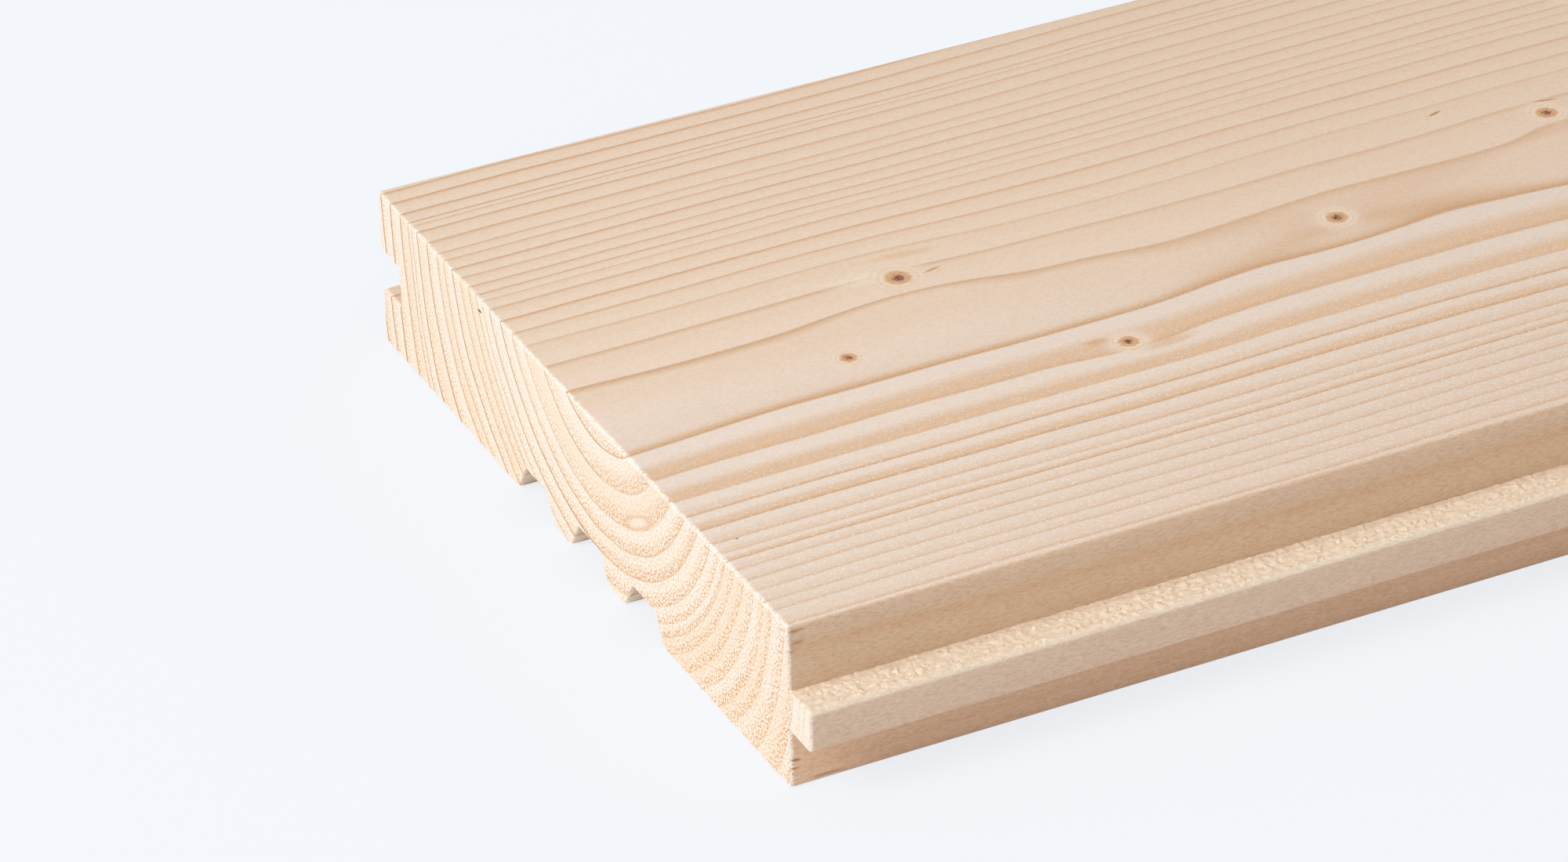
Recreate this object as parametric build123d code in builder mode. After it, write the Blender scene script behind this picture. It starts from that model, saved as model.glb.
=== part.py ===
from build123d import *
import os

# A spruce floorboard, planed on all four sides and sawn off square. Sizes are in millimetres.
# The board lies flat: its length runs along X, the tongue is on the -Y edge,
# the groove is on the +Y edge, and the underside stands on Z = 0.

# Stock
board_length = 2000.0
face_width = 138.0  # what one laid board covers, from shoulder to lip
board_thickness = 26.0
face_arris_radius = 0.4  # the two long edges of the walking face, eased
under_arris_chamfer = 0.5  # the two long edges of the underside, taken off at 45 degrees

# Tongue
tongue_projection = 6.2
tongue_thickness = 6.3
tongue_drop = 0.35  # how far the tongue lies below mid-thickness
tongue_nose_radius = 1.0  # upper front edge, which leads into the next board
tongue_heel_radius = 0.4  # lower front edge

# Groove, which takes the tongue of the next board
groove_side_clearance = 0.3  # above the tongue, and as much again below it
groove_end_clearance = 0.5  # ahead of the tongue when two faces meet
groove_mouth_radius = 0.4

# Relief channels along the underside, which keep the board from cupping
channel_count = 3
channel_mouth = 12.8
channel_depth = 4.7
channel_flank_angle = 30.0  # degrees, away from upright
channel_roof_radius = 1.2
channel_shift = 1.4  # how far the channels lie towards the tongue
rib_width = 5.4  # what stands between two mouths
rib_edge_chamfer = 0.6  # along every foot and rib, beside a mouth

# Where the section's edges lie
overall_width = face_width + tongue_projection
lip_y = overall_width / 2
shoulder_y = lip_y - face_width
tongue_middle_z = board_thickness / 2 - tongue_drop
groove_depth = tongue_projection + groove_end_clearance
groove_height = tongue_thickness + 2 * groove_side_clearance
channel_pitch = channel_mouth + rib_width
channel_slope = 90.0 - channel_flank_angle  # the flank's rise from the underside
level_tolerance = 0.001  # corners this close in height are on one level

os.makedirs("parts", exist_ok=True)

# The moulded section, drawn looking along the board and run out to the board's length
with BuildPart() as floorboard:
    with BuildSketch(Plane.YZ.offset(-board_length / 2)) as section:
        with Locations((shoulder_y, 0)):
            Rectangle(face_width, board_thickness, align=(Align.MIN, Align.MIN))

        with Locations((shoulder_y, tongue_middle_z)):
            Rectangle(tongue_projection, tongue_thickness, align=(Align.MAX, Align.CENTER))

        with Locations((lip_y, tongue_middle_z)):
            Rectangle(
                groove_depth, groove_height, align=(Align.MAX, Align.CENTER), mode=Mode.SUBTRACT
            )

        with Locations((-channel_shift, 0)):
            with GridLocations(channel_pitch, 0, channel_count, 1):
                Trapezoid(
                    channel_mouth,
                    channel_depth,
                    channel_slope,
                    align=(Align.CENTER, Align.MIN),
                    mode=Mode.SUBTRACT,
                )

        # The tongue's front edges, then the two lips of the groove
        tongue_tip = section.vertices().group_by(Axis.X)[0].sort_by(Axis.Y)
        fillet(tongue_tip[0], tongue_heel_radius)
        fillet(tongue_tip[-1], tongue_nose_radius)
        lip_corners = section.vertices().group_by(Axis.X)[-1].sort_by(Axis.Y)
        fillet(lip_corners[1:-1], groove_mouth_radius)

        # The roofs of the channels, then the feet and ribs beside their mouths
        roof_corners = section.vertices().filter_by_position(
            Axis.Y, channel_depth - level_tolerance, channel_depth + level_tolerance
        )
        fillet(roof_corners, channel_roof_radius)
        foot_corners = section.vertices().group_by(Axis.Y)[0].sort_by(Axis.X)
        chamfer(foot_corners[1:-1], rib_edge_chamfer)

        # The four long arrises
        under_corners = section.vertices().group_by(Axis.Y)[0].sort_by(Axis.X)
        chamfer([under_corners[0], under_corners[-1]], under_arris_chamfer)
        fillet(section.vertices().group_by(Axis.Y)[-1], face_arris_radius)
    extrude(amount=board_length)

floorboard.part.label = "floorboard"
export_step(floorboard.part, "parts/floorboard.step")
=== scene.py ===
import math
import bmesh
import bpy
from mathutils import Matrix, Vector


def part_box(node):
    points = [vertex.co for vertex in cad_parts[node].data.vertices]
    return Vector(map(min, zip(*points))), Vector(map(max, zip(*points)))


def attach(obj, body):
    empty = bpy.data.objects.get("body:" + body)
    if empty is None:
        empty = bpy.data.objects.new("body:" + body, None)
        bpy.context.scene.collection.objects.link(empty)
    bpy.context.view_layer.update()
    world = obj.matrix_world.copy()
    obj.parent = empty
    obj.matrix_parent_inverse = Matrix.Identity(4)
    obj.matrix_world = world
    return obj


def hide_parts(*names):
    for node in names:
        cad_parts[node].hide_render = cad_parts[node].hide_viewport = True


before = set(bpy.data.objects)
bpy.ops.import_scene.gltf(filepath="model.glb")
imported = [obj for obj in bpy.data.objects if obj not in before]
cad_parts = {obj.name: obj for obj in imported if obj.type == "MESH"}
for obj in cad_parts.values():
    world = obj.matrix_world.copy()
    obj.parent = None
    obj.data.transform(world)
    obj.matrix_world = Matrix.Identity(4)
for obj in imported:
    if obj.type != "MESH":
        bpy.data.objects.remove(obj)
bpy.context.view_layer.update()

boardLow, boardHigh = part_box("floorboard")
mm = 0.001
bpy.ops.object.select_all(action="DESELECT")
print("frame loaded, board from", tuple(boardLow), "to", tuple(boardHigh))

# Camera, at the photograph's angle

view = {
    "place": (-1.301952, -0.695773, 0.473986),
    "turn": (59.1204, 1.3423, -26.4416),  # degrees
    "lens": 143.21,
    "sensor": 36.0,
}


def addCamera():
    bpy.ops.object.camera_add(location=view["place"], rotation=[math.radians(a) for a in view["turn"]])
    camera = bpy.context.object
    camera.data.lens = view["lens"]
    camera.data.sensor_width = view["sensor"]
    camera.data.clip_start = 0.01
    camera.data.clip_end = 100.0
    bpy.context.scene.camera = camera


addCamera()
print("camera set")

# Small helpers for edit mode


def pickFaces(test):
    bpy.ops.mesh.select_mode(type="FACE")
    bpy.ops.mesh.select_all(action="DESELECT")
    mesh = bmesh.from_edit_mesh(bpy.context.edit_object.data)
    for face in mesh.faces:
        face.select_set(bool(test(face.calc_center_median())))
    bmesh.update_edit_mesh(bpy.context.edit_object.data)


def pickEdges(test):
    bpy.ops.mesh.select_mode(type="EDGE")
    bpy.ops.mesh.select_all(action="DESELECT")
    mesh = bmesh.from_edit_mesh(bpy.context.edit_object.data)
    for edge in mesh.edges:
        edge.select_set(bool(test(edge.verts[0].co, edge.verts[1].co)))
    bmesh.update_edit_mesh(bpy.context.edit_object.data)


def pickVerts(test):
    bpy.ops.mesh.select_mode(type="VERT")
    bpy.ops.mesh.select_all(action="DESELECT")
    mesh = bmesh.from_edit_mesh(bpy.context.edit_object.data)
    for vert in mesh.verts:
        vert.select_set(bool(test(vert.co)))
    bmesh.update_edit_mesh(bpy.context.edit_object.data)


def near(a, b, tolerance=0.02 * mm):
    return abs(a - b) < tolerance


# The board itself: its section first, then run out along X

board = {
    "tongueReach": 6.2 * mm,
    "tongueLow": 9.5 * mm,
    "tongueHigh": 15.8 * mm,
    "noseRound": 1.0 * mm,
    "heelRound": 0.4 * mm,
    "grooveDepth": 6.7 * mm,
    "grooveLow": 9.2 * mm,
    "grooveHigh": 16.1 * mm,
    "mouthRound": 0.4 * mm,
    "channels": (-19.6 * mm, -1.4 * mm, 16.8 * mm),  # middles, across the board
    "channelMouth": 12.8 * mm,
    "channelDepth": 4.7 * mm,
    "flankAngle": 30.0,  # degrees from upright
    "roofRound": 0.69 * mm,  # how far along each side the round starts
    "ribEase": 0.6 * mm,
    "underEase": 0.5 * mm,
    "faceRound": 0.4 * mm,
    "endArris": 0.12 * mm,
    "outlineStep": 0.6 * mm,
    "shoulderStep": 0.32 * mm,  # points up the shoulder, where the saw tore fibres out
    "tornDrop": 0.35 * mm,  # how far below the tongue's top its nose is still torn
    "tornStep": 0.28 * mm,  # points across the tongue's torn top
    "tornNear": 0.34 * mm,  # and along it, up to a reach from the pictured end
    "tornReach": 180 * mm,
    "tornFar": 1.5 * mm,  # and beyond that reach
    "smoothAngle": 32.0,  # degrees
}
shoulderY = boardLow.y + board["tongueReach"]
grooveY = boardHigh.y - board["grooveDepth"]
middleY = (shoulderY + boardHigh.y) / 2
topZ = boardHigh.z
endX = boardLow.x
boardLength = boardHigh.x - boardLow.x

# rows across the board, measured from the sawn end in the picture
nearRows = [0.7, 1.1, 1.6, 2.2, 3.0, 4.0, 5.2, 6.6, 8.4, 11, 14, 18, 24, 36, 54, 80, 120, 180, 260]
farRows = [boardLength / mm - r for r in (400, 260, 120, 50, 16, 5.2, 1.5, 0.5, 0)]
rows = nearRows + list(range(400, 1500, 150)) + farRows


def cutSection(where, point, normal):
    pickFaces(where)
    bpy.ops.mesh.bisect(plane_co=point, plane_no=normal)


def softenCorners(where, size, segments):
    pickVerts(where)
    bpy.ops.mesh.bevel(offset=size, segments=segments, profile=0.5, affect="VERTICES")


def clearStraight():  # points that the cuts left in the middle of straight edges
    bpy.ops.mesh.select_mode(type="VERT")
    bpy.ops.mesh.select_all(action="DESELECT")
    mesh = bmesh.from_edit_mesh(bpy.context.edit_object.data)
    for vert in mesh.verts:
        ways = [edge.other_vert(vert).co - vert.co for edge in vert.link_edges]
        vert.select_set(len(ways) == 2 and ways[0].angle(ways[1]) > math.radians(179.5))
    bmesh.update_edit_mesh(bpy.context.edit_object.data)
    bpy.ops.mesh.dissolve_verts()


def drawSection():
    middle = (endX, middleY, topZ / 2)
    bpy.ops.mesh.primitive_plane_add(size=1.0, location=middle, rotation=(0, math.pi / 2, 0))
    blank = bpy.context.object
    blank.scale = (topZ, boardHigh.y - shoulderY, 1.0)
    bpy.ops.object.transform_apply(location=True, rotation=True, scale=True)
    bpy.ops.object.mode_set(mode="EDIT")

    # the groove's side is parted from the rest, so tongue and groove get level cuts of their own
    partY = grooveY - board["grooveDepth"]
    cutSection(lambda c: True, (endX, partY, 0), (0, 1, 0))
    for level in (board["tongueLow"], board["tongueHigh"]):
        cutSection(lambda c: c.y < partY, (endX, 0, level), (0, 0, 1))
    for level in (board["grooveLow"], board["grooveHigh"]):
        cutSection(lambda c: c.y > partY, (endX, 0, level), (0, 0, 1))
    cutSection(lambda c: c.y > partY, (endX, grooveY, 0), (0, 1, 0))

    pickEdges(lambda a, b: near(a.y, shoulderY) and near(b.y, shoulderY)
              and board["tongueLow"] < (a.z + b.z) / 2 < board["tongueHigh"])
    bpy.ops.mesh.extrude_edges_move(TRANSFORM_OT_translate={"value": (0, -board["tongueReach"], 0)})

    pickFaces(lambda c: c.y > grooveY and board["grooveLow"] < c.z < board["grooveHigh"])
    bpy.ops.mesh.delete(type="FACE")

    # relief channels: slanted cuts up to the roof, then the wedge between them goes
    roof = board["channelDepth"]
    cutSection(lambda c: c.z < board["grooveLow"], (endX, 0, roof), (0, 0, 1))
    lean = math.radians(board["flankAngle"])
    half = board["channelMouth"] / 2
    for channel in board["channels"]:
        for side in (-1, 1):
            foot = (endX, channel + side * half, 0)
            cutSection(lambda c: c.z < roof, foot, (0, math.cos(lean), side * math.sin(lean)))
        pickFaces(lambda c: c.z < roof and abs(c.y - channel) < half - roof * math.tan(lean) / 2)
        bpy.ops.mesh.delete(type="FACE")

    bpy.ops.mesh.select_all(action="SELECT")
    bpy.ops.mesh.dissolve_faces()
    clearStraight()

    # rounds and eased edges
    def onTip(v, level):
        return near(v.y, boardLow.y) and near(v.z, level)

    def atMouth(v):
        return near(v.y, boardHigh.y) and board["grooveLow"] - mm < v.z < board["grooveHigh"] + mm

    def besideChannel(v):
        return near(v.z, 0) and shoulderY + mm < v.y < boardHigh.y - mm

    softenCorners(lambda v: onTip(v, board["tongueHigh"]), board["noseRound"], 6)
    softenCorners(lambda v: onTip(v, board["tongueLow"]), board["heelRound"], 3)
    softenCorners(atMouth, board["mouthRound"], 3)
    softenCorners(lambda v: near(v.z, roof), board["roofRound"], 4)
    softenCorners(besideChannel, board["ribEase"], 2)
    softenCorners(lambda v: near(v.z, 0) and not besideChannel(v), board["underEase"], 1)
    softenCorners(lambda v: near(v.z, topZ), board["faceRound"], 4)
    return blank


def onTornWood(point):  # the tongue's top, and down over the upper part of its nose
    rise = point.z - board["tongueHigh"]
    return point.y < shoulderY + 0.05 * mm and -board["tornDrop"] < rise < 0.05 * mm


def splitOutline():
    mesh = bmesh.from_edit_mesh(bpy.context.edit_object.data)
    outline = [((e.verts[0].co + e.verts[1].co) / 2, e.calc_length()) for e in mesh.edges]
    for middle, length in outline:
        step = board["outlineStep"]
        if onTornWood(middle):
            step = board["tornStep"]
        elif near(middle.y, shoulderY):
            step = board["shoulderStep"]
        cuts = round(length / step) - 1
        if cuts > 0:
            pickEdges(lambda a, b: near(((a + b) / 2 - middle).length, 0, 0.01 * mm)
                      and near((a - b).length, length))
            bpy.ops.mesh.subdivide(number_cuts=cuts)


def runOut():
    bpy.ops.mesh.select_mode(type="FACE")
    bpy.ops.mesh.select_all(action="SELECT")
    reached = 0.0
    for row in rows:
        step = row * mm - reached
        bpy.ops.mesh.extrude_region_move(TRANSFORM_OT_translate={"value": (step, 0, 0)})
        reached = row * mm

    # the saw's edge is taken off at both ends: the end is inset, and its old rim steps back
    for x, inward in ((boardLow.x, 1), (boardHigh.x, -1)):
        pickFaces(lambda c: near(c.x, x))
        bpy.ops.mesh.inset(thickness=board["endArris"], depth=0)
        pickVerts(lambda v: near(v.x, x))
        mesh = bmesh.from_edit_mesh(bpy.context.edit_object.data)
        flush = [face for face in mesh.faces if near(face.calc_center_median().x, x)]
        cap = max(flush, key=lambda face: len(face.verts))
        for vert in cap.verts:
            vert.select_set(False)
        bmesh.update_edit_mesh(bpy.context.edit_object.data)
        bpy.ops.transform.translate(value=(inward * board["endArris"], 0, 0))


def splitTongueTop():
    marks = [board["endArris"]] + [row * mm for row in rows[:-1]] + [boardLength - board["endArris"]]
    for start, stop in zip(marks, marks[1:]):
        step = board["tornNear"] if start < board["tornReach"] else board["tornFar"]
        cuts = round((stop - start) / step) - 1
        if cuts > 0:
            pickEdges(lambda a, b: near(abs(a.x - b.x), stop - start)
                      and near(min(a.x, b.x), endX + start) and onTornWood(a) and onTornWood(b))
            bpy.ops.mesh.subdivide(number_cuts=cuts)


floorboard = drawSection()
floorboard.name = "spruceBoard"
floorboard.data.name = "spruceBoard"
splitOutline()
runOut()
splitTongueTop()
bpy.ops.mesh.select_all(action="SELECT")
bpy.ops.mesh.normals_make_consistent(inside=False)
bpy.ops.object.mode_set(mode="OBJECT")
print("board run out,", len(floorboard.data.polygons), "faces")

# Torn and frayed places: a cloud of noise pushes the points of one place along one axis

frayed = {
    "endReach": 1.2 * mm,  # how far in from the sawn end its edges are frayed
    # fibres torn out of the shoulder: from the end, height, half length and half height, in millimetres
    "chips": (
        (1.5, 24.9, 1.9, 0.42), (1.7, 23.0, 1.5, 0.5), (0.7, 21.7, 0.9, 0.35), (0.7, 4.4, 1.2, 0.3),
        (0.5, 3.0, 1.0, 0.3), (6.0, 0.7, 3.8, 0.42)),
    # passes of noise for each place: axis, grain, depth, and the level of the noise that stays put
    "tornTongue": (("Z", 1.0 * mm, 0.55 * mm, 0.35), ("Z", 0.5 * mm, 0.28 * mm, 0.35),
                   ("Y", 0.8 * mm, 0.3 * mm, 0.5)),
    "nearRim": (("X", 0.9 * mm, 0.25 * mm, 0.0),),
    "farRim": (("X", 0.9 * mm, -0.25 * mm, 0.0),),
    "underEnd": (("Z", 1.5 * mm, 0.9 * mm, 0.0),),
    "lipEnd": (("Y", 1.3 * mm, -0.5 * mm, 0.0),),
    "grooveEnd": (("Y", 1.2 * mm, -0.6 * mm, 0.0),),
    "shoulderChips": (("Y", 1.2 * mm, 0.5 * mm, -0.4),),
    "tongueStretch": 1.35,  # draws the tongue's noise out along the board
}


def fade(value, full, none):
    return min(1.0, max(0.0, (none - value) / (none - full)))


def fray(name, weigh, stretch=1.0):
    bpy.ops.object.empty_add(location=(0, 0, 0))
    guide = bpy.context.object
    guide.scale = (stretch, 1.0, 1.0)
    bpy.ops.object.select_all(action="DESELECT")
    floorboard.select_set(True)
    bpy.context.view_layer.objects.active = floorboard
    group = floorboard.vertex_groups.new(name=name)
    for vert in floorboard.data.vertices:
        weight = weigh(vert.co)
        if weight > 0.001:
            group.add([vert.index], weight, "REPLACE")
    for axis, grain, depth, level in frayed[name]:
        texture = bpy.data.textures.new(name, "CLOUDS")
        texture.noise_scale = grain
        texture.noise_depth = 1
        texture.noise_type = "HARD_NOISE"
        push = floorboard.modifiers.new(name, "DISPLACE")
        push.texture = texture
        push.texture_coords = "OBJECT"
        push.texture_coords_object = guide
        push.direction = axis
        push.mid_level = level
        push.strength = depth
        push.vertex_group = name
        bpy.ops.object.modifier_apply(modifier=name)
        bpy.data.textures.remove(texture)
    floorboard.vertex_groups.clear()
    bpy.data.objects.remove(guide)


def tornTongue(v):  # less in the corner at the shoulder, none at the tip
    if not onTornWood(v):
        return 0.0
    fromShoulder = shoulderY - v.y
    return (0.45 + 0.55 * fade(fromShoulder, 0.5 * mm, 0.0)) * fade(fromShoulder, 5.3 * mm, 6.1 * mm)


def sawnRim(end):
    return lambda v: 1.0 if near(abs(v.x - end), board["endArris"]) else 0.0


def underEnd(v):  # the lower edge of the sawn end, worst below the groove
    if v.z > 0.3 * mm:
        return 0.0
    return fade(v.x - endX, 0.2 * mm, frayed["endReach"]) * (1.0 if v.y > 30 * mm else 0.35)


def lipEnd(v):
    return fade(v.x - endX, 0.2 * mm, frayed["endReach"]) if v.y > boardHigh.y - 0.3 * mm else 0.0


def grooveEnd(v):
    return fade(v.x - endX, 0.2 * mm, frayed["endReach"]) if near(v.y, grooveY, 0.3 * mm) else 0.0


def shoulderChips(v):
    if not near(v.y, shoulderY, 0.6 * mm):
        return 0.0
    along = (v.x - endX) / mm
    away = [math.hypot((along - a) / long, (v.z / mm - h) / high) for a, h, long, high in frayed["chips"]]
    return fade(min(away), 0.35, 1.0)


fray("tornTongue", tornTongue, stretch=frayed["tongueStretch"])
fray("nearRim", sawnRim(boardLow.x))
fray("farRim", sawnRim(boardHigh.x))
fray("underEnd", underEnd)
fray("lipEnd", lipEnd)
fray("grooveEnd", grooveEnd)
fray("shoulderChips", shoulderChips)
bpy.ops.object.shade_smooth_by_angle(angle=math.radians(board["smoothAngle"]))
print("torn places done,", len(floorboard.data.polygons), "faces")

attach(floorboard, "root")
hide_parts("floorboard")

# Small helpers for materials


def feed(tree, socket, value):
    if isinstance(value, bpy.types.NodeSocket):
        tree.links.new(value, socket)
    else:
        socket.default_value = value


def calc(tree, operation, *values, clamp=False):
    node = tree.nodes.new("ShaderNodeMath")
    node.operation = operation
    node.use_clamp = clamp
    for socket, value in zip(node.inputs, values):
        feed(tree, socket, value)
    return node.outputs[0]


def vectorCalc(tree, operation, *values):
    node = tree.nodes.new("ShaderNodeVectorMath")
    node.operation = operation
    for socket, value in zip(node.inputs, values):
        feed(tree, socket, value)
    return node.outputs["Value" if operation == "LENGTH" else "Vector"]


def joinVector(tree, x, y, z=0.0):
    node = tree.nodes.new("ShaderNodeCombineXYZ")
    for socket, value in zip(node.inputs, (x, y, z)):
        feed(tree, socket, value)
    return node.outputs[0]


def spread(tree, value, start, end, low=0.0, high=1.0, kind="SMOOTHSTEP"):
    node = tree.nodes.new("ShaderNodeMapRange")
    node.interpolation_type = kind
    sockets = ("Value", "From Min", "From Max", "To Min", "To Max")
    for name, given in zip(sockets, (value, start, end, low, high)):
        feed(tree, node.inputs[name], given)
    return node.outputs["Result"]


def drawnCurve(tree, value, points, low, high):
    first, last = points[0][0], points[-1][0]
    node = tree.nodes.new("ShaderNodeFloatCurve")
    line = node.mapping.curves[0]
    for index, (x, y) in enumerate(points):
        place = ((x - first) / (last - first), (y - low) / (high - low))
        if index < 2:
            line.points[index].location = place
        else:
            line.points.new(*place)
    node.mapping.update()
    feed(tree, node.inputs["Value"], spread(tree, value, first, last, kind="LINEAR"))
    result = calc(tree, "MULTIPLY_ADD", node.outputs[0], high - low, low)

    def readOff(x):
        return low + (high - low) * node.mapping.evaluate(line, (x - first) / (last - first))

    return result, readOff


def cloud(tree, vector, size, detail=2.0, roughness=0.5):
    node = tree.nodes.new("ShaderNodeTexNoise")
    feed(tree, node.inputs["Vector"], vectorCalc(tree, "MULTIPLY", vector, size))
    node.inputs["Scale"].default_value = 1.0
    node.inputs["Detail"].default_value = detail
    node.inputs["Roughness"].default_value = roughness
    return node.outputs["Fac"]


def blendColour(tree, amount, first, second, kind="MIX"):
    node = tree.nodes.new("ShaderNodeMix")
    node.data_type = "RGBA"
    node.blend_type = kind
    feed(tree, node.inputs[0], amount)
    feed(tree, node.inputs[6], first)
    feed(tree, node.inputs[7], second)
    return node.outputs[2]


def fromScreen(*levels):  # red, green and blue from 0 to 255, as a screen shows them
    shares = [level / 255 for level in levels]
    linear = [c / 12.92 if c <= 0.04045 else ((c + 0.055) / 1.055) ** 2.4 for c in shares]
    return (*linear, 1.0)


def colourRun(tree, value, stops):  # stops are places along value with their screen colours
    first, last = stops[0][0], stops[-1][0]
    node = tree.nodes.new("ShaderNodeValToRGB")
    bar = node.color_ramp
    for index, (place, *colour) in enumerate(stops):
        share = (place - first) / (last - first)
        stop = bar.elements[index] if index < 2 else bar.elements.new(share)
        stop.position = share
        stop.color = fromScreen(*colour)
    feed(tree, node.inputs["Fac"], spread(tree, value, first, last, kind="LINEAR"))
    return node.outputs["Color"]


# Planed spruce: one solid wood, so the rings run through from the sawn end to the faces
# Lengths are in millimetres and colours as a screen shows them

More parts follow.
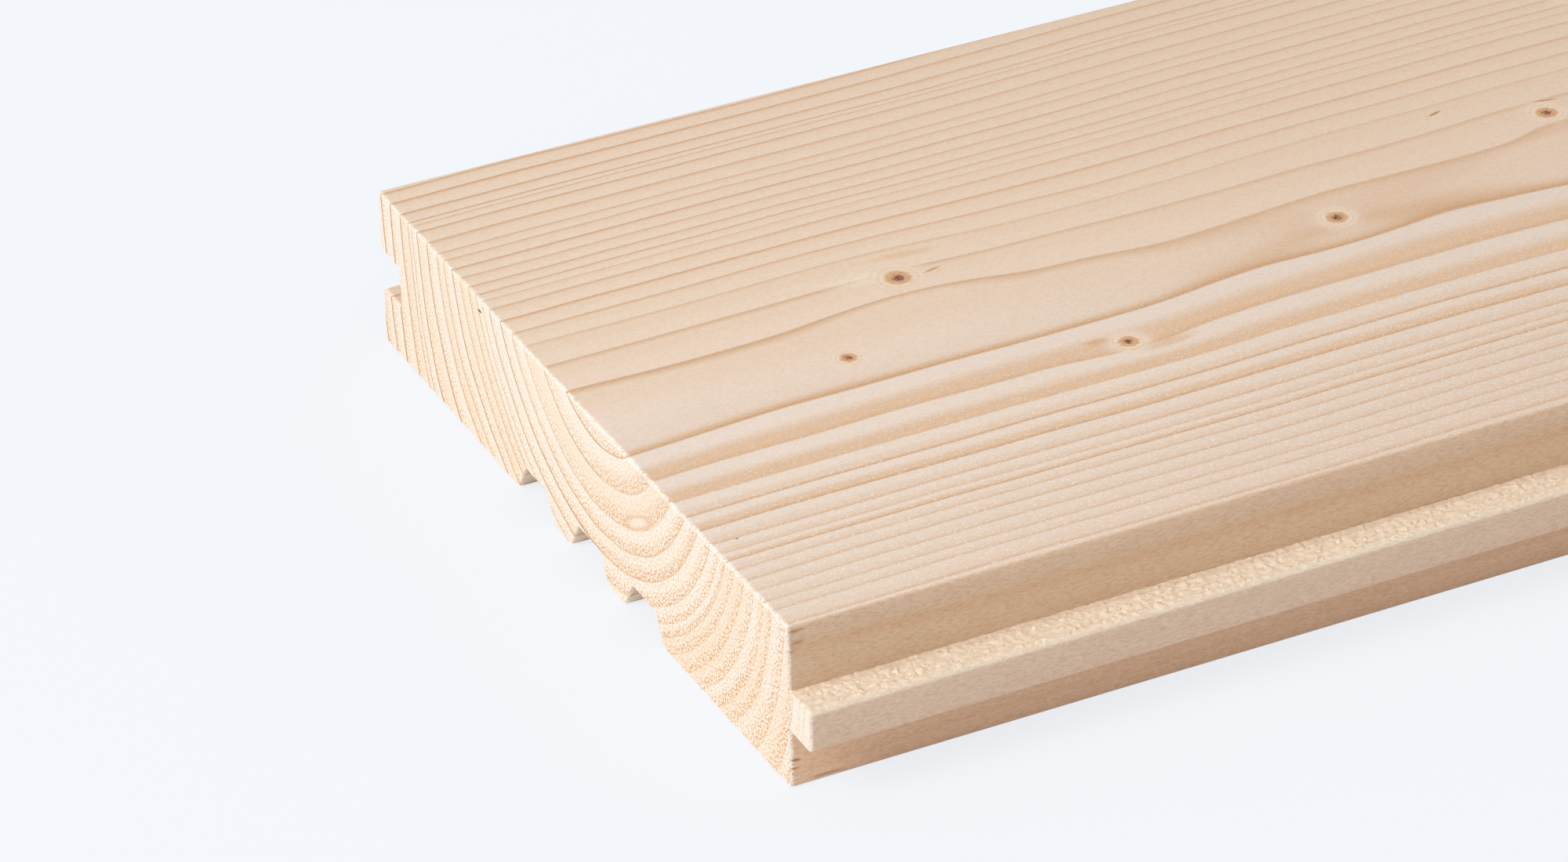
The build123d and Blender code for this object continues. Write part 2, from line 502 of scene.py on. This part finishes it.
spruce = {
    "late": (199, 149, 97),
    "endLine": (182, 128, 82),
    "tan": (224, 190, 158),  # late wood before the line, towards the tongue
    "endWood": (243, 234, 222),  # early wood where the saw crossed it
    "pore": (214, 158, 90),
    "torn": (244, 228, 207),  # loose fibres on the tongue
    "rimHighlight": (249, 240, 230),  # painted highlight along the sawn edges
    "zones": ((-66, 232, 212, 195), (-32, 235, 218, 203), (-12, 235, 219, 206), (0, 236, 214, 194),
              (20, 235, 213, 190), (72, 233, 211, 190)),
    # painted shade: the wood a little darker away from the pictured end, where the light falls off
    "paintedFalloff": ((0, 255, 255, 255), (30, 255, 254, 253), (130, 250, 247, 244), (200, 250, 247, 244)),
    # the tongue's side by height: the ring lines the moulder cut through, under a warm tan painted over
    # the whole side as its shade
    "side": ((0, 238, 202, 172), (9.2, 238, 203, 175), (9.6, 229, 203, 181), (14.9, 230, 205, 183),
             (15.6, 228, 200, 172), (19.5, 227, 197, 168), (20.6, 225, 191, 159), (21.4, 222, 186, 152),
             (22.2, 225, 194, 163), (24, 227, 198, 172), (26, 236, 206, 178)),
    # relief channels by height: paler flanks painted in as light, and a golden-brown roof painted in as
    # shade
    "channel": ((0, 240, 210, 186), (0.7, 246, 230, 211), (3.4, 246, 230, 211),
                (4.2, 226, 186, 138), (5, 222, 180, 132)),
    "pithY": ((0, -5.8), (26, -5.2), (50, -4.8), (80, -5.2), (105, -4.8), (130, -4.1),
              (160, -4.4), (256, -4.6)),
    "pithAbove": ((0, 15.1), (26, 15.6), (60, 15.6), (80, 16.1), (100, 17.2), (120, 17.5), (145, 17.3),
                  (165, 16.4), (256, 15.8)),
    "rings": (  # radius where a year ends, and how dark its line is towards the groove and the tongue
        (3.2, 0.5, 0.5), (8.2, 0.5, 0.5), (13.2, 0.6, 0.6), (18.1, 0.75, 0.8), (23.5, 0.6, 0.35),
        (28.9, 0.4, 0.15), (32.6, 0.65, 0.75), (36.3, 0.8, 0.7), (40.0, 0.65, 0.5),
        (42.6, 0.4, 0.35), (44.5, 0.8, 0.8),
        (46.9, 0.7, 0.4), (49.7, 0.6, 0.5), (52.6, 0.85, 0.4), (55.6, 0.6, 0.4), (57.9, 0.6, 0.4),
        (61.5, 0.7, 0.45), (65.1, 0.85, 0.45), (67.1, 0.75, 0.4), (68.3, 1.05, 0.5), (71.1, 0.85, 0.5),
        (74.8, 0.9, 0.5),
        (78.2, 0.8, 0.5), (81.6, 0.8, 0.5), (85.1, 0.8, 0.5), (88.6, 0.8, 0.5), (92.0, 0.8, 0.5)),
    "bands": (  # how tan the wood is before a line, by radius, towards the tongue
        (3, 0.25), (16.6, 0.25), (17.4, 0.7), (18.1, 0.75), (20, 0.9), (25, 1.0), (28.9, 1.0),
        (30.5, 0.5), (32.6, 0.5),
        (34.5, 0.85), (36.3, 0.85), (38, 0.45), (42.6, 0.45), (43.4, 0.8), (44.5, 0.8), (45.5, 0.35),
        (92, 0.35)),
    "groovePush": ((0, 0.0), (25, -0.1), (50, -0.55), (75, 0.0), (105, 0.65), (125, 0.75),
                   (150, 1.2), (256, 1.5)),
    "tonguePush": ((0, -0.3), (25, 0.1), (50, 0.5), (75, 0.4), (100, 0.8), (125, 1.3),
                   (150, 1.5), (256, 1.5)),
    "knots": (  # distance from the end, place across, radius of the brown heart, all on the walking face
        (56.3, 10.8, 1.8), (39.5, -6.3, 1.15), (76.7, -21.4, 1.35), (121.5, -4.3, 1.5), (166.2, 8.6, 1.5),
        (190.5, 40.5, 1.6)),
    "swells": (  # where the rings bow out: along, across, how far, and the reach along and across
        (54, 5.0, 1.2, 24, 5.5), (76.7, -23.5, 0.8, 16, 5.0), (121, -10.5, 0.6, 18, 5.0),
        (166, 6.0, 1.0, 16, 5.0),
        (128, 3.0, 0.9, 42, 6.0), (112, -11.5, 0.45, 85, 6.0), (85, 17.5, -0.8, 32, 10.0)),
    "farKnots": (95.0, 0.85, 24.0),  # a cell's length, its angle in radians, and its width on the face
    "knotColours": (  # from the middle of a knot outwards, in radii
        (0.0, 132, 78, 50), (0.25, 170, 116, 80), (0.5, 208, 164, 126), (0.72, 214, 171, 132),
        (0.9, 208, 162, 119), (1.15, 228, 196, 162), (1.4, 239, 219, 198), (1.65, 226, 196, 165),
        (1.9, 239, 220, 199), (2.25, 227, 199, 170), (2.8, 237, 219, 199)),
    "crack": (104, 44, 16),
    "fibreGrain": (1.2, 6.0, 6.0),  # how often the noise changes in a millimetre, along X, Y and Z
    "mottleGrain": (1.2, 2.6, 2.6),
    "speckGrain": (2.7, 2.7, 2.7),
    "tint": ((0.32, 244, 240, 234), (0.5, 251, 250, 249), (0.68, 255, 255, 255)),
    "streaks": ((0.34, 245, 240, 235), (0.52, 251, 249, 247), (0.62, 254, 253, 252)),
    "sparkle": (250, 240, 228),
    "warmYear": (234, 204, 168),
    "whorl": ((0, -18.6, 16.6), (7.0, 6.2, 1.2), 0, -29),  # a twig's root: middle, reach, turn, tilt
    "whorlColours": ((0.0, 249, 242, 233), (0.4, 246, 236, 224), (0.72, 214, 170, 124),
                     (0.9, 220, 180, 138), (1.3, 240, 226, 208)),
    "stains": (  # along, across, reach along and across, turn in degrees, strength, colour
        (52, 12.6, 9, 2.4, -7, 0.5, (244, 229, 210)), (60, 16.7, 7, 1.3, -6, 0.45, (220, 178, 130)),
        (61.8, 10.7, 2.2, 0.4, 12, 0.75, (186, 128, 78)),
        (72.6, -19.4, 2.8, 1.2, -8, 0.7, (214, 166, 114)),
        (82, -24.2, 6.5, 1.6, 4, 0.55, (216, 170, 122)), (168, 12.2, 2.6, 0.4, -14, 0.8, (176, 118, 64)),
        (151.2, 16.6, 1.9, 0.36, 16, 0.9, (172, 112, 60)), (4.0, -42.6, 0.3, 0.25, 0, 0.9, (96, 56, 36))),
    # painted shade in the hollows of the chips torn out of the shoulder
    "chipHollowShade": (202, 150, 98),
    "sliver": ((0, 34.6, 24.0), (0.5, 0.8, 0.22)),  # a dark splinter in the sawn end
    "sliverColour": (70, 42, 22),
    "roughness": 0.6,
    "gloss": 0.25,
    "bumpStrength": 0.35,
    "bumpDepth": 0.05 * mm,
}


def awayFrom(tree, place, middle, reach, turn=0.0, tilt=0.0):  # 0 in an ellipsoid's middle, 1 at its edge
    mapping = tree.nodes.new("ShaderNodeMapping")
    mapping.vector_type = "TEXTURE"
    mapping.inputs["Location"].default_value = middle
    mapping.inputs["Rotation"].default_value = (math.radians(tilt), 0, math.radians(turn))
    mapping.inputs["Scale"].default_value = reach
    tree.links.new(place, mapping.inputs["Vector"])
    return vectorCalc(tree, "LENGTH", mapping.outputs[0])


def ringField(tree, place, along, across, height):
    # the pith lies above the walking face and wanders a little along the board
    pithY, pithYAt = drawnCurve(tree, along, spruce["pithY"], -8.0, 0.0)
    pithAbove, pithAboveAt = drawnCurve(tree, along, spruce["pithAbove"], 10.0, 20.0)
    drift = cloud(tree, joinVector(tree, along, 7.3), (0.0035, 1, 1), 0.0)
    wander = spread(tree, along, 200, 420, 0.0, 24.0)  # only past the picture
    wander = calc(tree, "MULTIPLY", calc(tree, "SUBTRACT", drift, 0.5), wander)
    sideways = calc(tree, "SUBTRACT", calc(tree, "SUBTRACT", across, pithY), wander)
    below = calc(tree, "SUBTRACT", calc(tree, "ADD", pithAbove, topZ / mm), height)
    angle = calc(tree, "ARCTAN2", sideways, below)

    # far from the pith the rings stand more upright than circles would
    fromPith = calc(tree, "ABSOLUTE", sideways)
    upright = spread(tree, fromPith, 34, 72, 1.0, 0.33)
    aboveSquare = calc(tree, "MULTIPLY", pithAbove, pithAbove)
    extra = calc(tree, "SUBTRACT", calc(tree, "MULTIPLY", below, below), aboveSquare)
    square = calc(tree, "MULTIPLY_ADD", sideways, sideways, aboveSquare)
    radius = calc(tree, "SQRT", calc(tree, "MULTIPLY_ADD", extra, upright, square))

    # knots are branches that run out from the pith, so their place is a distance and an angle
    grain = joinVector(tree, along, angle)

    def awayFromBranch(branchAlong, branchAcross, reachAlong, reachAcross):
        aside = branchAcross - pithYAt(branchAlong)
        depth = pithAboveAt(branchAlong)
        perAngle = (aside * aside + depth * depth) / depth  # millimetres across the face for one radian
        middle = (branchAlong, math.atan2(aside, depth), 0)
        return awayFrom(tree, grain, middle, (reachAlong, reachAcross / perAngle, 1))

    heart = 100.0
    for knotAlong, knotAcross, knotRadius in spruce["knots"]:
        away = awayFromBranch(knotAlong, knotAcross, knotRadius, knotRadius)
        heart = calc(tree, "MINIMUM", heart, away)
    swelling = 0.0
    for swellAlong, swellAcross, amount, reachAlong, reachAcross in spruce["swells"]:
        away = awayFromBranch(swellAlong, swellAcross, reachAlong, reachAcross)
        swelling = calc(tree, "ADD", swelling, spread(tree, away, 1.0, 0.0, 0.0, amount))

    # past the picture the knots come as they grow, about one to a cell of length and angle
    cell = tree.nodes.new("ShaderNodeTexVoronoi")
    cell.voronoi_dimensions = "2D"
    cell.inputs["Scale"].default_value = 1.0
    cell.inputs["Randomness"].default_value = 0.9
    cellLength, cellAngle, cellWidth = spruce["farKnots"]
    spot = vectorCalc(tree, "DIVIDE", grain, (cellLength, cellAngle, 1))
    feed(tree, cell.inputs["Vector"], spot)
    offset = vectorCalc(tree, "SUBTRACT", spot, cell.outputs["Position"])
    away = vectorCalc(tree, "LENGTH", vectorCalc(tree, "MULTIPLY", offset, (cellLength, cellWidth, 0)))
    chance = tree.nodes.new("ShaderNodeSeparateColor")
    feed(tree, chance.inputs[0], cell.outputs["Color"])
    smallness = spread(tree, chance.outputs[0], 0.0, 1.0, 1.2, 0.42, kind="LINEAR")
    farHeart = calc(tree, "MULTIPLY_ADD", away, smallness, spread(tree, along, 205, 245, 50.0, 0.0))
    atEdges = spread(tree, fromPith, 20, 30, 0.0, 50.0)  # no knots along the edges
    farHeart = calc(tree, "ADD", farHeart, atEdges)
    heart = calc(tree, "MINIMUM", heart, farHeart)
    swelling = calc(tree, "ADD", swelling, spread(tree, farHeart, 9.0, 0.0, 0.0, 1.0))

    # year rings, nudged to where the lines lie in the picture
    tongueSide = spread(tree, sideways, 4, -4)
    groovePush, _ = drawnCurve(tree, along, spruce["groovePush"], -2.0, 4.0)
    tonguePush, _ = drawnCurve(tree, along, spruce["tonguePush"], -2.0, 4.0)
    wave = calc(tree, "MULTIPLY_ADD", cloud(tree, place, (0.05, 0.13, 0.1), 0.0), 0.5, -0.25)
    push = calc(tree, "MULTIPLY", groovePush, spread(tree, sideways, 20, 62))
    push = calc(tree, "MULTIPLY_ADD", tonguePush, spread(tree, sideways, -8, -30), push)
    push = calc(tree, "ADD", calc(tree, "SUBTRACT", push, wave), swelling)
    ringRadius = calc(tree, "SUBTRACT", radius, push)
    return ringRadius, tongueSide, heart


def planedSpruce():
    material = bpy.data.materials.new("planedSpruce")
    material.use_nodes = True
    tree = material.node_tree
    tree.nodes.clear()
    output = tree.nodes.new("ShaderNodeOutputMaterial")
    shader = tree.nodes.new("ShaderNodeBsdfPrincipled")
    tree.links.new(shader.outputs[0], output.inputs["Surface"])

    coords = tree.nodes.new("ShaderNodeTexCoord")
    toMillimetres = tree.nodes.new("ShaderNodeMapping")
    toMillimetres.inputs["Location"].default_value = (-endX / mm, 0, 0)
    toMillimetres.inputs["Scale"].default_value = (1 / mm, 1 / mm, 1 / mm)
    tree.links.new(coords.outputs["Object"], toMillimetres.inputs["Vector"])
    place = toMillimetres.outputs[0]
    parts = tree.nodes.new("ShaderNodeSeparateXYZ")
    tree.links.new(place, parts.inputs[0])
    along, across, height = parts.outputs
    ringRadius, tongueSide, heart = ringField(tree, place, along, across, height)

    # which face this is: a sawn end, the tongue's edge, a relief channel, or the rest
    shoulder = shoulderY / mm
    fromEnd = calc(tree, "MINIMUM", along, calc(tree, "SUBTRACT", boardLength / mm, along))
    sawnEnd = spread(tree, fromEnd, 0.5, 0.2)
    planed = calc(tree, "SUBTRACT", 1.0, sawnEnd)
    edge = calc(tree, "MULTIPLY", spread(tree, across, shoulder + 0.3, shoulder + 0.05), planed)
    # where the channels get their painted light and shade
    channelLightAndShade = calc(tree, "COMPARE", across, board["channels"][1] / mm, 25.0)
    channelLightAndShade = calc(tree, "MULTIPLY", channelLightAndShade, spread(tree, height, 5.2, 4.9))
    channelLightAndShade = calc(tree, "MULTIPLY", channelLightAndShade, planed)

    # fine noise: long fibres, an even mottle, and small specks
    fibre = cloud(tree, place, spruce["fibreGrain"], 1.0, 0.6)
    mottle = cloud(tree, place, spruce["mottleGrain"], 1.0, 0.7)
    speck = cloud(tree, place, spruce["speckGrain"], 0.0)

    # late wood: a line where each year ends, and a tan band before it
    years = [(radiusHere, index) for index, (radiusHere, _, _) in enumerate(spruce["rings"])]
    year, _ = drawnCurve(tree, ringRadius, years, 0, len(years))
    season = calc(tree, "FRACT", year)
    grooveDark, _ = drawnCurve(tree, ringRadius, [(r, dark) for r, dark, _ in spruce["rings"]], 0.0, 1.2)
    tongueDark, _ = drawnCurve(tree, ringRadius, [(r, dark) for r, _, dark in spruce["rings"]], 0.0, 1.2)
    outward = spread(tree, ringRadius, 22, 46)
    blurred = calc(tree, "MULTIPLY", calc(tree, "MULTIPLY", outward, 0.5), sawnEnd)
    tongueFade = calc(tree, "SUBTRACT", spread(tree, along, 2, 25, 0.9, 1.0), blurred)
    tongueDark = calc(tree, "MULTIPLY", tongueDark, tongueFade)
    grooveFade = calc(tree, "MULTIPLY_ADD", sawnEnd, 0.6, spread(tree, along, 10, 120, 1.0, 0.68))
    grooveDark = calc(tree, "MULTIPLY", grooveDark, grooveFade)
    dark = spread(tree, tongueSide, 0.0, 1.0, grooveDark, tongueDark, kind="LINEAR")
    lineStart = calc(tree, "MULTIPLY_ADD", sawnEnd, 0.125, spread(tree, outward, 0, 1, 0.83, 0.74))
    line = calc(tree, "POWER", spread(tree, season, lineStart, 1.0, kind="LINEAR"), 1.4)
    line = calc(tree, "MAXIMUM", line, spread(tree, season, 0.0, 0.05, 1.0, 0.0))
    line = calc(tree, "MULTIPLY", line, dark)
    bandDepth, _ = drawnCurve(tree, ringRadius, spruce["bands"], 0.0, 1.0)
    bandDepth = calc(tree, "MULTIPLY_ADD", tongueSide, calc(tree, "SUBTRACT", bandDepth, 0.25), 0.25)
    band = calc(tree, "MULTIPLY", spread(tree, season, 0.3, 0.7), bandDepth)
    band = calc(tree, "MULTIPLY", band, spread(tree, sawnEnd, 0.0, 1.0, 1.0, 0.3, kind="LINEAR"))
    shows = spread(tree, heart, 1.2, 3.6, 0.2, 1.0)  # fainter round a knot and on the tongue's edge
    shows = calc(tree, "MULTIPLY", shows, calc(tree, "MULTIPLY_ADD", edge, -0.7, 1.0))

    # colour: cream early wood with a slow drift over the board, a painted shade that darkens it a little
    # away from the pictured end, tan late wood
    wood = colourRun(tree, across, spruce["zones"])
    wood = blendColour(tree, 1.0, wood, colourRun(tree, along, spruce["paintedFalloff"]), kind="MULTIPLY")
    wood = blendColour(tree, calc(tree, "MULTIPLY", sawnEnd, 0.85), wood, fromScreen(*spruce["endWood"]))
    rise = spread(tree, along, 0, 35, 0.9, 0.0)  # the shoulder's dark line rises towards the sawn end
    rise = calc(tree, "MULTIPLY", rise, spread(tree, height, 17.5, 20.5))
    # the tongue's side: its ring lines, with a warm tan painted in as the shade on that side
    shoulderTanAndShade = colourRun(tree, calc(tree, "SUBTRACT", height, rise), spruce["side"])
    wood = blendColour(tree, edge, wood, shoulderTanAndShade)
    torn = spread(tree, across, shoulder - 0.05, shoulder - 0.25)
    torn = calc(tree, "MULTIPLY", torn, spread(tree, height, 15.0, 15.4))
    wood = blendColour(tree, torn, wood, fromScreen(*spruce["torn"]))
    # the channels: paler painted light on the flanks, golden-brown painted shade on the roof
    wood = blendColour(tree, channelLightAndShade, wood, colourRun(tree, height, spruce["channel"]))
    lateColour = blendColour(tree, sawnEnd, fromScreen(*spruce["late"]), fromScreen(*spruce["endLine"]))
    wood = blendColour(tree, calc(tree, "MULTIPLY", band, shows), wood, fromScreen(*spruce["tan"]))
    wood = blendColour(tree, calc(tree, "MULTIPLY", line, shows), wood, lateColour)
    for x, y, reachX, reachY, turn, strength, colour in spruce["stains"]:
        away = awayFrom(tree, place, (x, y, topZ / mm), (reachX, reachY, 3.0), turn)
        wood = blendColour(tree, spread(tree, away, 1.0, 0.2, 0.0, strength), wood, fromScreen(*colour))

    # knots: a golden heart with dark cracks, faint rings round it
    heart = calc(tree, "ADD", heart, calc(tree, "MULTIPLY_ADD", mottle, 0.5, -0.25))
    knotColour = colourRun(tree, heart, spruce["knotColours"])
    wood = blendColour(tree, spread(tree, heart, 2.8, 1.0), wood, knotColour)
    crack = calc(tree, "MULTIPLY", spread(tree, speck, 0.48, 0.58), spread(tree, heart, 0.8, 0.3))
    wood = blendColour(tree, crack, wood, fromScreen(*spruce["crack"]))

    # mottle everywhere, streaks on the tongue's edge, bright specks towards the tongue
    tone = calc(tree, "MULTIPLY_ADD", fibre, 0.5, calc(tree, "MULTIPLY", mottle, 0.5))
    tint = colourRun(tree, tone, spruce["tint"])
    wood = blendColour(tree, 1.0, wood, tint, kind="MULTIPLY")
    streaks = colourRun(tree, fibre, spruce["streaks"])
    wood = blendColour(tree, edge, wood, streaks, kind="MULTIPLY")
    sparkle = spread(tree, across, 0, -45, 0.12, 0.4)
    sparkle = calc(tree, "MULTIPLY", spread(tree, speck, 0.62, 0.74), sparkle)
    sparkle = calc(tree, "MULTIPLY", sparkle, calc(tree, "SUBTRACT", planed, edge))
    wood = blendColour(tree, sparkle, wood, fromScreen(*spruce["sparkle"]))

    # the sawn ends: some years warmer than others, open pores, and a painted highlight along their rims
    yearTone = cloud(tree, joinVector(tree, year, 3.7), (0.8, 1, 1), 0.0)
    openEnd = spread(tree, across, shoulder - 1.6, shoulder + 0.4, 0.3, 1.0)  # the tongue's end is plainer
    openEnd = calc(tree, "MULTIPLY", sawnEnd, openEnd)
    warmth = calc(tree, "MULTIPLY", spread(tree, yearTone, 0.4, 0.65, 0.0, 0.28), openEnd)
    wood = blendColour(tree, warmth, wood, fromScreen(*spruce["warmYear"]))
    densest = spread(tree, height, 22, 4, 0.85, 1.25)  # most pores low down, towards the tongue
    densest = calc(tree, "MULTIPLY", densest, spread(tree, across, 20, -30, 0.6, 1.1))
    pores = spread(tree, season, 0.3, 0.95, 0.4, 1.1)
    pores = calc(tree, "MULTIPLY", spread(tree, speck, 0.5, 0.63), pores)
    pores = calc(tree, "MULTIPLY", calc(tree, "MULTIPLY", pores, densest), openEnd)
    wood = blendColour(tree, pores, wood, fromScreen(*spruce["pore"]))
    # painted highlight along the sawn rims and the end's top edge, broken up by the mottle, stronger
    # towards the tongue
    rimHighlight = calc(tree, "MULTIPLY", spread(tree, fromEnd, 0.65, 0.3), spread(tree, fromEnd, 0.0, 0.08))
    rimHighlight = calc(tree, "MAXIMUM", rimHighlight, calc(tree, "MULTIPLY", sawnEnd, spread(tree, height, 25.2, 25.7)))
    highlightStrength = spread(tree, across, 40, 0, 0.45, 0.75)
    rimHighlight = calc(tree, "MULTIPLY", rimHighlight, spread(tree, mottle, 0.4, 0.6, 0.1, highlightStrength))
    wood = blendColour(tree, rimHighlight, wood, fromScreen(*spruce["rimHighlight"]))
    away = awayFrom(tree, place, *spruce["whorl"])
    whorl = colourRun(tree, away, spruce["whorlColours"])
    wood = blendColour(tree, spread(tree, away, 1.3, 0.8, 0.0, 0.42), wood, whorl)
    away = awayFrom(tree, place, *spruce["sliver"])
    wood = blendColour(tree, spread(tree, away, 1.0, 0.6), wood, fromScreen(*spruce["sliverColour"]))

    # torn fibres at the shoulder, their hollows painted darker as shade: only their hollows lie this far
    # behind its face
    chipShade = spread(tree, across, shoulder + 0.02, shoulder + 0.3)
    chipShade = calc(tree, "MULTIPLY", chipShade, spread(tree, across, shoulder + 1.3, shoulder + 0.9))
    chipShade = calc(tree, "MULTIPLY", chipShade, calc(tree, "COMPARE", height, topZ / mm / 2, 12.5))
    chipShade = calc(tree, "MULTIPLY", chipShade, calc(tree, "MULTIPLY", planed, 0.8))
    wood = blendColour(tree, chipShade, wood, fromScreen(*spruce["chipHollowShade"]))

    tree.links.new(wood, shader.inputs["Base Color"])
    shader.inputs["Roughness"].default_value = spruce["roughness"]
    shader.inputs["Specular IOR Level"].default_value = spruce["gloss"]

    bump = tree.nodes.new("ShaderNodeBump")
    bump.inputs["Strength"].default_value = spruce["bumpStrength"]
    bump.inputs["Distance"].default_value = spruce["bumpDepth"]
    tree.links.new(speck, bump.inputs["Height"])
    tree.links.new(bump.outputs[0], shader.inputs["Normal"])
    return material


floorboard.data.materials.clear()
floorboard.data.materials.append(planedSpruce())
print("spruce finished")

# Floor, light and background

studio = {
    "paper": (0.905, 0.93, 0.97, 1.0),
    "floorSize": 30.0,
    "floorPaint": (0.86, 0.87, 0.88, 1.0),
    "floorGlow": 0.85,  # how much of the paper's own colour the camera sees, the rest is shadow
    "ambient": 0.6,
    "keyPlace": (-2.25, -0.2, 1.25),
    "keyAim": (-0.95, 0.0, 0.01),
    "keySize": 1.0,
    "keyPower": 21.0,
    "farPlace": (0.5, 0.0, 0.9),
    "farSize": (1.5, 0.5),
    "farSpread": 60.0,  # degrees, so that none of it falls on the pictured end
    "farPower": 1.0,
}


def seenPlainly(tree):  # 1 where the camera, a reflection or a clear body looks straight at it
    path = tree.nodes.new("ShaderNodeLightPath")
    seen = calc(tree, "MAXIMUM", path.outputs["Is Camera Ray"], path.outputs["Is Glossy Ray"])
    return calc(tree, "MAXIMUM", seen, path.outputs["Is Transmission Ray"])


def paperFloor():
    bpy.ops.mesh.primitive_plane_add(size=studio["floorSize"], location=(0, 0, 0))
    floor = bpy.context.object
    floor.name = "studioFloor"
    material = bpy.data.materials.new("paleFloor")
    material.use_nodes = True
    tree = material.node_tree
    tree.nodes.clear()
    output = tree.nodes.new("ShaderNodeOutputMaterial")
    lit = tree.nodes.new("ShaderNodeBsdfDiffuse")
    lit.inputs["Color"].default_value = studio["floorPaint"]
    glow = tree.nodes.new("ShaderNodeEmission")
    glow.inputs["Color"].default_value = studio["paper"]
    glow.inputs["Strength"].default_value = 1.0
    mix = tree.nodes.new("ShaderNodeMixShader")
    feed(tree, mix.inputs[0], calc(tree, "MULTIPLY", seenPlainly(tree), studio["floorGlow"]))
    tree.links.new(lit.outputs[0], mix.inputs[1])
    tree.links.new(glow.outputs[0], mix.inputs[2])
    tree.links.new(mix.outputs[0], output.inputs["Surface"])
    floor.data.materials.append(material)


def paperWorld():
    world = bpy.data.worlds.new("paleRoom")
    world.use_nodes = True
    bpy.context.scene.world = world
    tree = world.node_tree
    tree.nodes.clear()
    output = tree.nodes.new("ShaderNodeOutputWorld")
    backdrop = tree.nodes.new("ShaderNodeBackground")
    backdrop.inputs["Color"].default_value = studio["paper"]
    fill = tree.nodes.new("ShaderNodeBackground")
    fill.inputs["Color"].default_value = (1.0, 1.0, 1.0, 1.0)
    fill.inputs["Strength"].default_value = studio["ambient"]
    mix = tree.nodes.new("ShaderNodeMixShader")
    feed(tree, mix.inputs[0], seenPlainly(tree))
    tree.links.new(fill.outputs[0], mix.inputs[1])
    tree.links.new(backdrop.outputs[0], mix.inputs[2])
    tree.links.new(mix.outputs[0], output.inputs["Surface"])


def softKey():
    bpy.ops.object.light_add(type="AREA", location=studio["keyPlace"])
    lamp = bpy.context.object
    lamp.name = "softKey"
    lamp.data.shape = "DISK"
    lamp.data.size = studio["keySize"]
    lamp.data.energy = studio["keyPower"]
    lamp.rotation_euler = (Vector(studio["keyAim"]) - lamp.location).to_track_quat("-Z", "Y").to_euler()


def farLight():  # keeps the far half of the board as bright as the pictured end
    bpy.ops.object.light_add(type="AREA", location=studio["farPlace"])
    lamp = bpy.context.object
    lamp.name = "farLight"
    lamp.data.shape = "RECTANGLE"
    lamp.data.size, lamp.data.size_y = studio["farSize"]
    lamp.data.spread = math.radians(studio["farSpread"])
    lamp.data.energy = studio["farPower"]


paperFloor()
paperWorld()
softKey()
farLight()
bpy.context.scene.view_settings.view_transform = "Standard"
print("floor and light set")
